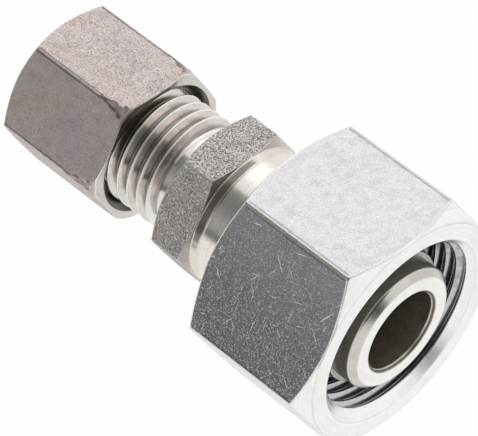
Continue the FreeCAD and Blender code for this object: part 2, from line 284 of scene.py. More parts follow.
@dataclass(frozen=True)
class SteelFinish:
    """One finish of the steel: stains, grain, lathe marks, scratches, wear, painted highlights and
    shade.

    Sizes, heights and depths are in millimetres. Shares run from 0 to 1.
    """

    name: str
    colour: Colour = (0.58, 0.57, 0.56)
    stain: Colour = (0.40, 0.35, 0.30)
    stain_share: float = 0.3
    stain_size: float = 5.0
    roughness: float = 0.32
    grain_size: float = 0.16
    grain_height: float = 0.006
    pit_depth: float = 0.0
    speckle_share: float = 0.2
    turning_height: float = 0.0
    turning_size: float = 0.14
    fleck_share: float = 0.0
    scratch_share: float = 0.0
    root_shade_share: float = 0.0
    crest_highlight_share: float = 0.0
    tint: Colour = (0.58, 0.57, 0.56)
    tint_share: float = 0.0
    edge: Colour = (0.72, 0.70, 0.66)
    edge_share: float = 0.6
    seam_and_shade_share: float = 0.0

    def material(self, axis_height: float) -> bpy.types.Material:
        """Build the finish as a material.

        Args:
            axis_height: Height of the part's axis above the floor, in metres.

        Returns:
            The material.
        """
        material = bpy.data.materials.new(self.name)
        graph = Graph(material)
        point = graph.signal("ShaderNodeTexCoord", output="Object")
        centred = graph.vector("SUBTRACT", point, (0.0, 0.0, axis_height))
        place = graph.vector("MULTIPLY", centred, (1.0 / MM,) * 3)
        dots = graph.noise(place, DOT_SCALE / self.grain_size, 2.0, 0.6)
        coat = self.ground(graph, place, dots)
        if self.turning_height:
            rings = self.rings(graph, place)
            coat.height = coat.height + rings * self.turning_height
            coat.roughness = coat.roughness + (rings - 0.5) * RING_GLOSS
            coat.lay(RINGS, rings, RING_SHARE)
        if self.scratch_share:
            coat.lay(SCRATCHES, self.scratches(graph, place), self.scratch_share)
        if self.fleck_share:
            coat.lay(FLECKS, dots, self.fleck_share)
        if self.root_shade_share:
            root = graph.mark("root")
            # Painted shade in the roots of the thread.
            coat.lay(ROOT_SHADE, root, self.root_shade_share)
            # Painted highlight on the crests of the thread.
            coat.lay(CREST_HIGHLIGHTS, root, self.crest_highlight_share)
        edge = graph.mark("edge")
        # Edge wear and painted highlights where the edge mark is above 0.
        coat.lay(EDGE_WEAR_AND_HIGHLIGHTS, edge, self.edge_share, self.edge)
        # Dark seams and painted shade, where the edge mark is below 0.
        if self.seam_and_shade_share:
            coat.lay(SEAMS_AND_SHADE, 0.0 - edge, self.seam_and_shade_share)
        bumps = {"Strength": 1.0, "Distance": MM, "Height": coat.height}
        inputs = {
            "Base Color": coat.colour,
            "Metallic": 1.0,
            "Roughness": coat.roughness,
            "Normal": graph.signal("ShaderNodeBump", bumps),
        }
        shader = graph.signal("ShaderNodeBsdfPrincipled", inputs)
        graph.node("ShaderNodeOutputMaterial", {"Surface": shader})
        return material

    def ground(self, graph: Graph, place: Signal, dots: Signal) -> Coat:
        """Give the steel under its marks, with grain, stains and clouds at a place in millimetres.

        The pits and the speckle follow the dots.
        """
        cloud = graph.noise(place, CLOUD_SCALE, 4.0, 0.6)
        broad = graph.noise(place, 1.0 / self.stain_size, 3.0, 0.55)
        height = graph.noise(place, 1.0 / self.grain_size, 3.0, 0.6) * self.grain_height
        if self.pit_depth:
            height = height - dots.between(PITS.low, PITS.high) * self.pit_depth
        roughness = self.roughness + (cloud - 0.5) * CLOUD_GLOSS + (dots - 0.5) * DOT_GLOSS
        coat = Coat(graph, cloud, self.colour, roughness, height)
        coat.lay(STAINS, broad, self.stain_share, self.stain)
        if self.tint_share:
            coat.lay(TINTS, broad, self.tint_share, self.tint)
        coat.lay(CLOUDS, cloud, self.stain_share * 0.5)
        for layer, factor in ((DARK_DOTS, 0.3), (PALE_DOTS, 1.6)):
            tone = tuple(min(value * factor, 1.0) for value in self.colour)
            coat.lay(layer, dots, self.speckle_share, tone)
        return coat

    def rings(self, graph: Graph, place: Signal) -> Signal:
        """Give lathe marks: noise over station and radius alone, so that it runs round the axis."""
        split = graph.node("ShaderNodeSeparateXYZ", {0: place})
        along, side, up = (Signal(graph, output) for output in split.outputs)
        radius = graph.maths("SQRT", side * side + up * up)
        inputs = {0: along / self.turning_size, 1: radius / self.turning_size, 2: 0.0}
        return graph.noise(graph.signal("ShaderNodeCombineXYZ", inputs), 1.0, 3.0, 0.7)

    def scratches(self, graph: Graph, place: Signal) -> Signal:
        """Give a pattern that is high in thin streaks, which cross at several angles.

        Each set is a noise in a frame that is turned first and then pressed along one axis, so
        that its high spots are thin plates, which every flat cuts in fine lines.
        """
        highest = None
        for turn, size in SCRATCH_SETS:
            inputs = {"Vector": place, "Rotation": turn}
            turned = graph.signal("ShaderNodeMapping", inputs, {"vector_type": "POINT"})
            scales = tuple(size * scale for scale in PLATE_SCALES)
            plates = graph.noise(graph.vector("MULTIPLY", turned, scales), 1.0, 0.0)
            highest = graph.maths("MAXIMUM", highest, plates) if highest else plates
        return highest


@dataclass(frozen=True)
class Thread:
    """A right-handed thread of triangular form, cut off at its crests and roots.

    Attributes:
        crest_station: Station of a crest (of a groove, in a bore) at the crest angle.
        crest_angle: That angle round the axis, in degrees from +Y towards +Z.
        inner: Radius at the bottom of the form.
        outer: Radius at its top.
        narrow: How much of a pitch the form is narrower than it is nominally, on each side.
        first: Station where the form starts, at full depth.
        last: Station where it ends, and from which it fades out.
        external: Whether it lies on the outside of a piece.
        cone: Sum of station and radius on the entry cone, where ridges reach inwards.
    """

    crest_station: float
    crest_angle: float
    inner: float
    outer: float
    narrow: float = 0.0
    first: float = -100.0
    last: float = 100.0
    external: bool = False
    cone: float | None = None

    def height(self, station: np.ndarray, angle: np.ndarray) -> np.ndarray:
        """Give the form's share of its full depth.

        The turn number is (station - crest station) / pitch + (angle - crest angle) / 360
        degrees. The distance to the nearest whole turn, in pitches, is 0 on a crest and a half
        in a root, and the height falls in a straight line from 1 to 0 over the flank.
        """
        turned = (angle - math.radians(self.crest_angle)) / math.tau
        turns = (station - self.crest_station) / PITCH + turned
        distance = np.abs(turns - np.round(turns)) + self.narrow
        height = soft_step((FLANK_END - distance) / (FLANK_END - FLANK_START))
        for inside in (station - self.first, self.last - station):
            height = height * np.clip(inside / FADE_LENGTH + 1.0, 0.0, 1.0)
        return height

    def cut(
        self, threaded: np.ndarray, station: np.ndarray, radius: np.ndarray, angle: np.ndarray
    ) -> tuple[np.ndarray, np.ndarray]:
        """Cut the thread into the points that carry it.

        The form's radius is inner + (outer - inner) * height. A stud is never above it, and a
        bore never below it. Where the plain bore of a nut clears the crests of the stud, its
        ridges reach inwards instead, and the entry cone cuts them back.

        Args:
            threaded: Which points carry the thread.
            station: Their stations.
            radius: Their radii before the cut.
            angle: The angle of each column round the axis, in radians.

        Returns:
            The new radii, and how deep each point lies in the thread, from 0 to 1.
        """
        depth = self.height(station, angle)
        form = self.inner + (self.outer - self.inner) * depth
        if self.external:
            depth = np.where(form < radius, 1.0 - depth, 0.0)
            cut = np.minimum(radius, form)
        elif self.cone:
            cut = np.minimum(radius, np.maximum(form, self.cone - station))
        else:
            cut = np.maximum(radius, form)
        return np.where(threaded, cut, radius), np.where(threaded, depth, 0.0)


def soft_step(share: np.ndarray) -> np.ndarray:
    """Clip a share to 0..1 with both bends rounded: each bend is (a + b +- sqrt(d^2 + w^2)) / 2."""
    low = 0.5 * (share + np.sqrt(share**2 + BEND_WIDTH**2))
    return 0.5 * (low + 1.0 - np.sqrt((low - 1.0) ** 2 + BEND_WIDTH**2))


@dataclass(frozen=True)
class Hexagon:
    """A hexagon across flats, with rounded corners and a turn about the axis in degrees."""

    flats: float
    corner_rounding: float
    turn: float = 0.0

    @property
    def corner(self) -> float:
        """Radius of the sharp corner: the flats divided by the square root of 3."""
        return self.flats / math.sqrt(3.0)

    def radius(self, angle: np.ndarray) -> np.ndarray:
        """Give the outline's radius at each angle.

        With b the angle from the nearest corner, a the half width and g the corner rounding,
        the flat lies at a / cos(30 degrees - b). The rounded corner is a circle of radius g
        about a point at c = (a - g) / cos(30 degrees), at c cos b + sqrt(g^2 - c^2 sin^2 b).
        """
        away = self.from_corner(angle)
        half = self.flats / 2.0
        centre = (half - self.corner_rounding) / math.cos(SIXTH / 2.0)
        flat = half / np.cos(SIXTH / 2.0 - away)
        inside = np.maximum(self.corner_rounding**2 - (centre * np.sin(away)) ** 2, 0.0)
        arc = centre * np.cos(away) + np.sqrt(inside)
        return np.where(away < self.arc_angle(), arc, flat)

    def from_corner(self, angle: np.ndarray) -> np.ndarray:
        """Give the angle from the nearest corner."""
        turned = angle - math.radians(self.turn)
        return np.abs(turned - np.round(turned / SIXTH) * SIXTH)

    def arc_angle(self) -> float:
        """Give the angle from a corner to the end of its rounding."""
        half = self.flats / 2.0
        side = (half - self.corner_rounding) * math.tan(SIXTH / 2.0)
        return SIXTH / 2.0 - math.atan(side / half)

    def edge(self, angle: np.ndarray) -> np.ndarray:
        """Give 1 on the rounded corners, -1 just beside them and 0 on the flats."""
        share = self.from_corner(angle) / self.arc_angle()
        return np.interp(share, CORNER_MARKS, (1.0, -1.0, -1.0, 0.0))

    def columns(self) -> np.ndarray:
        """Give the angles of the grid's columns, close together at each rounded corner."""
        arc = self.arc_angle()
        seam, plain = (arc * mark for mark in CORNER_MARKS[2:])
        near = np.concatenate(([-plain, -seam], np.linspace(-arc, arc, ARC_COLUMNS), [seam, plain]))
        rest = np.linspace(plain, SIXTH - plain, FLAT_COLUMNS + 2)[1:-1]
        starts = np.arange(6)[:, None] * SIXTH + math.radians(self.turn)
        return (starts + np.concatenate((near, rest))).ravel()

    def bevel(self, face: float, circle: float, run: float, outline: np.ndarray) -> np.ndarray:
        """Give the stations where a corner chamfer meets the outline.

        The chamfer is a cone that leaves the face at the circle and reaches the sharp corner's
        radius after the run, which is below 0 at a closed face. So it meets a radius R at
        face + run * (R - circle) / (corner - circle).
        """
        return face + run * np.maximum(outline - circle, 0.0) / (self.corner - circle)


@dataclass
class Corner:
    """One corner of a section, and the run that leads from it to the next corner.

    Attributes:
        station: Place along the axis in millimetres, one number or one for each column.
        radius: Distance from the axis, likewise.
        rounding: How far along each run the rounding of the corner reaches.
        finish: Number of the finish of the run that follows.
        rows: Rows of the run that follows, between its two roundings.
        form: Kind of surface of the run that follows.
        edge: Unrounded corner's mark: 1 for wear and painted highlight, -1 for a seam and painted
            shade.
    """

    station: Values
    radius: Values
    rounding: float
    finish: int = 0
    rows: int = 1
    form: Form = Form.TURNED
    edge: Values = 0.0


def section_rows(corners: list[Corner], columns: int) -> tuple[np.ndarray, np.ndarray, tuple]:
    """Lay rows along a closed section.

    At each corner C the section follows (1-t)^2 A + 2t(1-t) C + t^2 B from a point A on the
    run before it to a point B on the run after it, both at the rounding's distance. A row just
    outside each of them keeps the shading of the runs flat.

    Returns:
        The stations and radii as a rows x 2 x columns array, the mark of each point, and the
        corner whose run each row belongs to.
    """
    ones = np.ones(columns)
    points = [np.stack((corner.station * ones, corner.radius * ones)) for corner in corners]
    rows = []
    for index, corner in enumerate(corners):
        following = (index + 1) % len(corners)
        before, here, after = points[index - 1], points[index], points[following]
        start = here
        if corner.rounding:
            previous, flat = corners[index - 1], corner.rounding * FLAT_FROM
            lead, trail = (toward(here, side, corner.rounding) for side in (before, after))
            rows.append((toward(here, before, flat), 0.0, previous))
            for step in ROUNDING_STEPS:
                curve = (1 - step) ** 2 * lead + 2 * step * (1 - step) * here + step**2 * trail
                rows.append((curve, 1.0 - abs(step - 0.5), previous if step < 0.5 else corner))
            start = toward(here, after, flat)
            rows.append((start, 0.0, corner))
        else:
            rows.append((here, corner.edge, corner))
        end = toward(after, here, corners[following].rounding * FLAT_FROM)
        for share in np.linspace(0.0, 1.0, corner.rows + 1)[1:-1]:
            rows.append((start + (end - start) * share, 0.0, corner))
    section, marks, owners = zip(*rows)
    return np.array(section), np.array([mark * ones for mark in marks]), owners


def darkened(angle: np.ndarray, middle: float, reach: float) -> np.ndarray:
    """Give the mark of a zone of painted shade at each angle, in radians.

    It is -1 within the reach of the middle, both in degrees, and 0 from twice the reach on.
    """
    away = np.abs(np.mod(np.degrees(angle) - middle + 180.0, 360.0) - 180.0)
    return -np.clip(2.0 - away / reach, 0.0, 1.0)


def toward(start: np.ndarray, end: np.ndarray, distance: float) -> np.ndarray:
    """Give the point a distance from start towards end, at most RUN_SHARE of the way."""
    way = end - start
    length = np.maximum(np.hypot(way[0], way[1]), 1e-9)
    return start + way * np.minimum(distance / length, RUN_SHARE)


@dataclass
class Placing:
    """Where the part's axis and its spigot face lie in the frame, in metres."""

    front: float
    height: float

    @classmethod
    def from_frame(cls) -> "Placing":
        """Read the place from the box of the large nut, which is level with the spigot face."""
        low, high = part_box("large_union_nut")
        return cls(front=high[0], height=(low[2] + high[2]) / 2.0)


@dataclass
class TurnedPiece:
    """A piece of the fitting whose surface is a closed section carried round the axis."""

    placing: Placing
    name: str
    node: str
    body: str
    slot: str
    hexagon: Hexagon | None = None
    thread: Thread | None = None
    plain_columns: int = 180

    def finishes(self) -> list[SteelFinish]:
        """Give the piece's finishes in the order of their numbers."""
        raise NotImplementedError

    def corners(self, outline: np.ndarray) -> list[Corner]:
        """Give the piece's section, with the hexagon's radius at each column."""
        raise NotImplementedError

    def angles(self) -> np.ndarray:
        """Give the angles of the grid's columns."""
        if self.hexagon:
            return self.hexagon.columns()
        return np.linspace(0.0, math.tau, self.plain_columns, endpoint=False)

    def build(self) -> None:
        """Make the mesh, dress it and put it in the frame.

        A point at station s, radius r and angle a lies at x = front - s, y = r cos a and
        z = height + r sin a.
        """
        angles = self.angles()
        outline = self.hexagon.radius(angles) if self.hexagon else np.zeros_like(angles)
        section, edge, owners = section_rows(self.corners(outline), len(angles))
        station, radius = section[:, 0], section[:, 1]
        root = np.zeros_like(radius)
        threaded, flat = (
            np.array([owner.form is form for owner in owners])[:, None]
            for form in (Form.THREAD, Form.HEXAGON)
        )
        if self.thread:
            radius, root = self.thread.cut(threaded, station, radius, angles)
        if self.hexagon:
            edge = np.where(edge == 0.0, flat * self.hexagon.edge(angles), edge)
        points = np.stack(
            (
                self.placing.front - station * MM,
                radius * np.cos(angles) * MM,
                self.placing.height + radius * np.sin(angles) * MM,
            ),
            axis=-1,
        )
        finishes = np.array([owner.finish for owner in owners])
        piece = grid_object(self.name, points, {"edge": edge, "root": root}, finishes)
        for finish in self.finishes():
            piece.data.materials.append(finish.material(self.placing.height))
        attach(piece, self.body)
        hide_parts(self.node)
        log.info("%s: %d points, rides on %s", self.name, len(piece.data.vertices), self.body)


def add_object(name: str, data: bpy.types.ID) -> bpy.types.Object:
    """Make an object of some data and put it in the scene."""
    made = bpy.data.objects.new(name, data)
    bpy.context.scene.collection.objects.link(made)
    return made


def grid_object(
    name: str, points: np.ndarray, marks: dict[str, np.ndarray], finish: np.ndarray
) -> bpy.types.Object:
    """Make a closed mesh from a grid that wraps round in both directions.

    Args:
        name: Name of the object and its mesh.
        points: Rows x columns x 3 array of places in metres.
        marks: Arrays of rows x columns that become attributes of the points.
        finish: Number of the finish for each row of faces.

    Returns:
        The new object, with its faces pointing outwards.
    """
    rows, columns = points.shape[:2]
    index = np.arange(rows * columns).reshape(rows, columns)
    down = np.roll(index, -1, axis=0)
    across = np.roll(index, -1, axis=1)
    quads = np.stack((index, across, np.roll(down, -1, axis=1), down), axis=-1).reshape(-1, 4)
    flat = points.reshape(-1, 3)
    first, second, third = (flat[quads[:, corner]] - flat.mean(axis=0) for corner in (0, 1, 2))
    if np.einsum("ij,ij->i", first, np.cross(second, third)).sum() < 0.0:
        quads = quads[:, ::-1]
    mesh = bpy.data.meshes.new(name)
    mesh.vertices.add(len(flat))
    mesh.vertices.foreach_set("co", flat.ravel())
    mesh.loops.add(quads.size)
    mesh.loops.foreach_set("vertex_index", quads.ravel())
    mesh.polygons.add(len(quads))
    mesh.polygons.foreach_set("loop_start", np.arange(len(quads)) * 4)
    mesh.polygons.foreach_set("material_index", np.repeat(finish, columns))
    mesh.polygons.foreach_set("use_smooth", np.ones(len(quads), dtype=bool))
    for mark, values in marks.items():
        attribute = mesh.attributes.new(mark, "FLOAT", "POINT")
        attribute.data.foreach_set("value", values.ravel().astype(np.float32))
    mesh.update(calc_edges=True)
    mesh.validate()
    return add_object(name, mesh)


class BodySkin(IntEnum):
    """Numbers of the body's finishes."""

    FACE = 0
    NOSE = 1
    SPIGOT = 2
    COLLAR = 3
    HEXAGON = 4
    UNDERCUT = 5
    THREAD = 6
    BORE = 7
    SHOULDER = 8


@dataclass
class FittingBody(TurnedPiece):
    """The one-piece body: spigot, collar, hexagon, undercut and threaded stud."""

    hexagon: Hexagon = Hexagon(17.0, 0.22)
    thread: Thread = Thread(34.25, 120.0, 6.08, 7.0, external=True)
    spigot: float = 7.5
    nose: float = 0.75
    bore: float = 4.8
    bore_chamfer: float = 0.35
    passage: float = 3.0
    passage_cone: tuple[float, float] = (24.0, 26.0)
    collar: float = 8.3
    collar_front: float = 17.2
    collar_chamfer: float = 0.4
    ridge_height: float = 0.05
    hexagon_front: float = 23.4
    hexagon_back: float = 28.1
    shoulder_run: float = 0.5
    shoulder_foot: float = 8.45
    # Middle and reach, in degrees, of the painted shade on the shoulder's ramp and cone.
    shoulder_shade: tuple[float, float] = (126.0, 27.0)
    ramp: float = 1.0
    back_circle: float = 8.4
    back_run: float = 0.8
    floor: float = 5.95
    floor_length: float = 2.0
    thread_start: float = 31.1
    crest: float = 7.0
    stud_end: float = 39.6
    stud_chamfer: float = 0.8
    cone_mouth: float = 5.0
    socket: float = 4.05
    socket_depth: float = 7.0

    def finishes(self) -> list[SteelFinish]:
        """Give the finishes in the order of BodySkin."""
        return [
            SteelFinish("spigot_face", (0.96, 0.95, 0.92), stain_share=0.1, roughness=0.3,
                turning_height=0.006, grain_height=0.003, speckle_share=0.08),
            SteelFinish("spigot_nose", (0.66, 0.63, 0.58), stain_share=0.2, roughness=0.22,
                turning_height=0.010, grain_height=0.0005, speckle_share=0.02),
            SteelFinish("spigot_side", (0.60, 0.56, 0.48), (0.40, 0.34, 0.26), 0.4, roughness=0.3,
                turning_height=0.005, grain_height=0.0004, speckle_share=0.0),
            SteelFinish("turned_collar", (0.84, 0.79, 0.745), stain_share=0.15, roughness=0.2,
                turning_height=0.012, grain_height=0.003, speckle_share=0.1),
            SteelFinish("body_hexagon", (0.60, 0.57, 0.55), (0.50, 0.46, 0.43), 0.4, roughness=0.7,
                grain_height=0.02, grain_size=0.13, pit_depth=0.05, speckle_share=0.9,
                edge=(0.60, 0.57, 0.54), edge_share=0.3),
            SteelFinish("undercut", (0.90, 0.84, 0.83), stain_share=0.1, roughness=0.18,
                turning_height=0.008, grain_height=0.002, speckle_share=0.06),
            SteelFinish("stud_thread", (0.70, 0.66, 0.63), (0.50, 0.42, 0.34), 0.3, 3.0, 0.15,
                grain_height=0.001, speckle_share=0.05, root_shade_share=0.6, crest_highlight_share=0.9,
                edge_share=0.2),
            SteelFinish("bore_wall", (0.66, 0.60, 0.52), (0.34, 0.29, 0.23), 0.7, roughness=0.4,
                turning_height=0.012, edge_share=0.8, seam_and_shade_share=0.85),
            # The shoulder's dark zone is painted shade, laid by its negative edge marks.
            SteelFinish("shoulder", (0.78, 0.73, 0.66), stain_share=0.2, roughness=0.25,
                turning_height=0.008, speckle_share=0.1, edge_share=0.9, seam_and_shade_share=0.75),
        ]

    def corners(self, outline: np.ndarray) -> list[Corner]:
        """Give the section, from the nose round the outside and back through the passage."""
        skin = BodySkin
        back = self.hexagon.bevel(self.hexagon_back, self.back_circle, -self.back_run, outline)
        floor_end = self.hexagon_back + self.floor_length
        thread_rows = round((self.stud_end - self.thread_start) / PITCH * THREAD_ROWS)
        chamfer_rows = round(self.stud_chamfer / PITCH * THREAD_ROWS) - 1
        cone_end = self.stud_end - (self.cone_mouth - self.socket) / math.tan(HALF_CONE)
        stop = self.stud_end - self.socket_depth
        cone_front, cone_back = self.passage_cone
        chamfer = self.bore_chamfer
        return [
            Corner(0.0, self.spigot - self.nose, 0.10, skin.NOSE),
            Corner(self.nose, self.spigot, 0.18, skin.SPIGOT, 4),
            Corner(self.collar_front, self.spigot, 0.05, skin.COLLAR),
            Corner(self.collar_front, self.collar - self.collar_chamfer, 0.05, skin.COLLAR),
            Corner(self.collar_front + self.collar_chamfer, self.collar, 0.08, skin.COLLAR, 4),
            *self.shoulder(outline),
            Corner(back, outline, 0.12, skin.UNDERCUT, 2),
            Corner(self.hexagon_back, self.back_circle, 0.12, skin.UNDERCUT, 2),
            Corner(self.hexagon_back, self.floor, 0.5, skin.UNDERCUT, 2),
            Corner(floor_end, self.floor, 0.6, skin.THREAD, 10, Form.THREAD),
            Corner(self.thread_start, self.crest, 0.05, skin.THREAD, thread_rows, Form.THREAD),
            Corner(self.stud_end - self.stud_chamfer, self.crest, 0.08, skin.THREAD, chamfer_rows,
                   Form.THREAD),
            Corner(self.stud_end, self.crest - self.stud_chamfer, 0.10, skin.UNDERCUT),
            Corner(self.stud_end, self.cone_mouth, 0.08, skin.UNDERCUT, 2),
            Corner(cone_end, self.socket, 0.08, skin.BORE, 2),
            Corner(stop, self.socket, 0.05, skin.BORE),
            Corner(stop, self.passage, 0.08, skin.BORE, 2),
            Corner(cone_back, self.passage, 0.1, skin.BORE),
            Corner(cone_front, self.bore, 0.1, skin.BORE, 6),
            Corner(chamfer, self.bore, 0.08, skin.BORE),
            *(Corner(station, self.bore + chamfer - station, 0.0, skin.BORE, edge=-1.0)
              for station in (0.22, 0.10)),
            Corner(0.0, self.bore + chamfer, 0.05, skin.FACE, 3),
        ]

    def shoulder(self, outline: np.ndarray) -> list[Corner]:
        """Give the fine ridge that ends the collar, the ramp and the cone up to the hexagon."""
        skin = BodySkin
        foot = self.hexagon_front - self.shoulder_run
        ridge = foot - self.ramp
        front = self.hexagon.bevel(foot, self.shoulder_foot, self.shoulder_run, outline)
        rise = outline - self.shoulder_foot
        # Painted shade on the ramp and the cone, dark within the reach of the middle angle.
        shade = darkened(self.angles(), *self.shoulder_shade)
        return [
            Corner(ridge - 0.12, self.collar, 0.03, skin.COLLAR),
            Corner(ridge - 0.04, self.collar + self.ridge_height, 0.02, skin.COLLAR),
            Corner(ridge + 0.04, self.collar - self.ridge_height, 0.02, skin.SHOULDER),
            Corner(ridge + 0.25, self.collar - 0.006, 0.0, skin.SHOULDER, edge=shade),
            Corner(foot - 0.15, self.shoulder_foot - 0.031, 0.0, skin.SHOULDER, edge=shade),
            Corner(foot, self.shoulder_foot, 0.05, skin.SHOULDER),
            *(Corner(foot + share * (front - foot), self.shoulder_foot + share * rise, 0.0,
                     skin.SHOULDER, edge=shade)
              for share in (0.15, 0.8)),
            Corner(front, outline, 0.10, skin.HEXAGON, 4, Form.HEXAGON),
        ]


class NutSkin(IntEnum):
    """Numbers of the finishes of a nut."""

    OUTSIDE = 0
    THREAD = 1
    BORE = 2
    FACE = 3


@dataclass
class UnionNut(TurnedPiece):
    """What both union nuts share: a hexagon with a bore that holds a tube, a cone and a thread."""

    face: float = 0.0
    length: float = 17.0
    hole: float = 7.58
    hole_chamfer: float = 0.5
    seat: float = 9.3
    thread_depth: float = 10.4
    thread_radius: float = 10.2
    entry: float = 1.15
    entry_skin: NutSkin = NutSkin.FACE
    entry_rows: int = 14
    front_circle: float = 13.4
    front_run: float = 1.25
    back_circle: float = 13.4
    back_run: float = 1.25

    @property
    def back(self) -> float:
        """Station of the closed face."""
        return self.face + self.length

    @property
    def mouth(self) -> float:
        """Radius of the opening."""
        return self.thread_radius + self.entry

    def bore_finish(self) -> SteelFinish:
        """Give the dark finish of the bore behind the thread."""
        return SteelFinish(
            f"{self.body}_bore", (0.40, 0.39, 0.38), roughness=0.35, turning_height=0.01
        )

    def back_corners(self, outline: np.ndarray, outer: float, inner: float) -> list[Corner]:
        """Give the chamfer at the closed face, from the two roundings of its ends."""
        rear = self.hexagon.bevel(self.back, self.back_circle, -self.back_run, outline)
        return [
            Corner(rear, outline, outer, NutSkin.OUTSIDE, 3),
            Corner(self.back, self.back_circle, inner, NutSkin.OUTSIDE, 3),
        ]

    def bore_corners(self) -> list[Corner]:
        """Give the section of the bore, from the closed face to the foot of the entry cone."""
        skin = NutSkin
        step = self.face + self.thread_depth
        thread_rows = round((self.thread_depth - self.entry) / PITCH * THREAD_ROWS)
        return [
            Corner(self.back, self.hole + self.hole_chamfer, 0.10, skin.BORE),
            Corner(self.back - self.hole_chamfer, self.hole, 0.10, skin.BORE, 2),
            Corner(step + self.seat - self.hole, self.hole, 0.08, skin.BORE),
            Corner(step, self.seat, 0.05, skin.BORE),
            Corner(step, self.thread_radius, 0.05, skin.THREAD, thread_rows, Form.THREAD),
            Corner(self.face + self.entry, self.thread_radius, 0.04, self.entry_skin,
                   self.entry_rows, Form.THREAD),
        ]


@dataclass
class LargeNut(UnionNut):
    """The large union nut, 27 mm across flats."""

    hexagon: Hexagon = Hexagon(27.0, 0.5)
    thread: Thread = Thread(2.2, 120.0, 10.2, 11.0, 0.0, -1.0, 9.0)

    def finishes(self) -> list[SteelFinish]:
        """Give the finishes in the order of NutSkin."""
        return [
            SteelFinish("large_nut_outside", (0.60, 0.58, 0.605), (0.50, 0.48, 0.49), 0.4, 3.0,
                0.17, grain_height=0.010, grain_size=0.15, pit_depth=0.008,
                speckle_share=0.08, fleck_share=0.9, scratch_share=1.0,
                edge=(0.86, 0.82, 0.75), edge_share=0.8, seam_and_shade_share=0.4),
            SteelFinish("large_nut_thread", (0.55, 0.55, 0.58), (0.25, 0.20, 0.12), 0.5, 3.0, 0.15,
                grain_height=0.002, root_shade_share=0.4, speckle_share=0.05),
            self.bore_finish(),
            SteelFinish("large_nut_face", (0.97, 0.965, 0.95), stain_share=0.06, roughness=0.3,
                grain_height=0.004, turning_height=0.005, speckle_share=0.08),
        ]

    def corners(self, outline: np.ndarray) -> list[Corner]:
        """Give the section, from the open face round the outside and back through the bore."""
        front = self.hexagon.bevel(self.face, self.front_circle, self.front_run, outline)
        return [
            Corner(self.face, self.front_circle, 0.15, NutSkin.FACE, 3),
            Corner(front, outline, 0.20, NutSkin.OUTSIDE, 6, Form.HEXAGON),
            *self.back_corners(outline, 0.20, 0.15),
            *self.bore_corners(),
            Corner(self.face, self.mouth, 0.10, NutSkin.FACE),
        ]


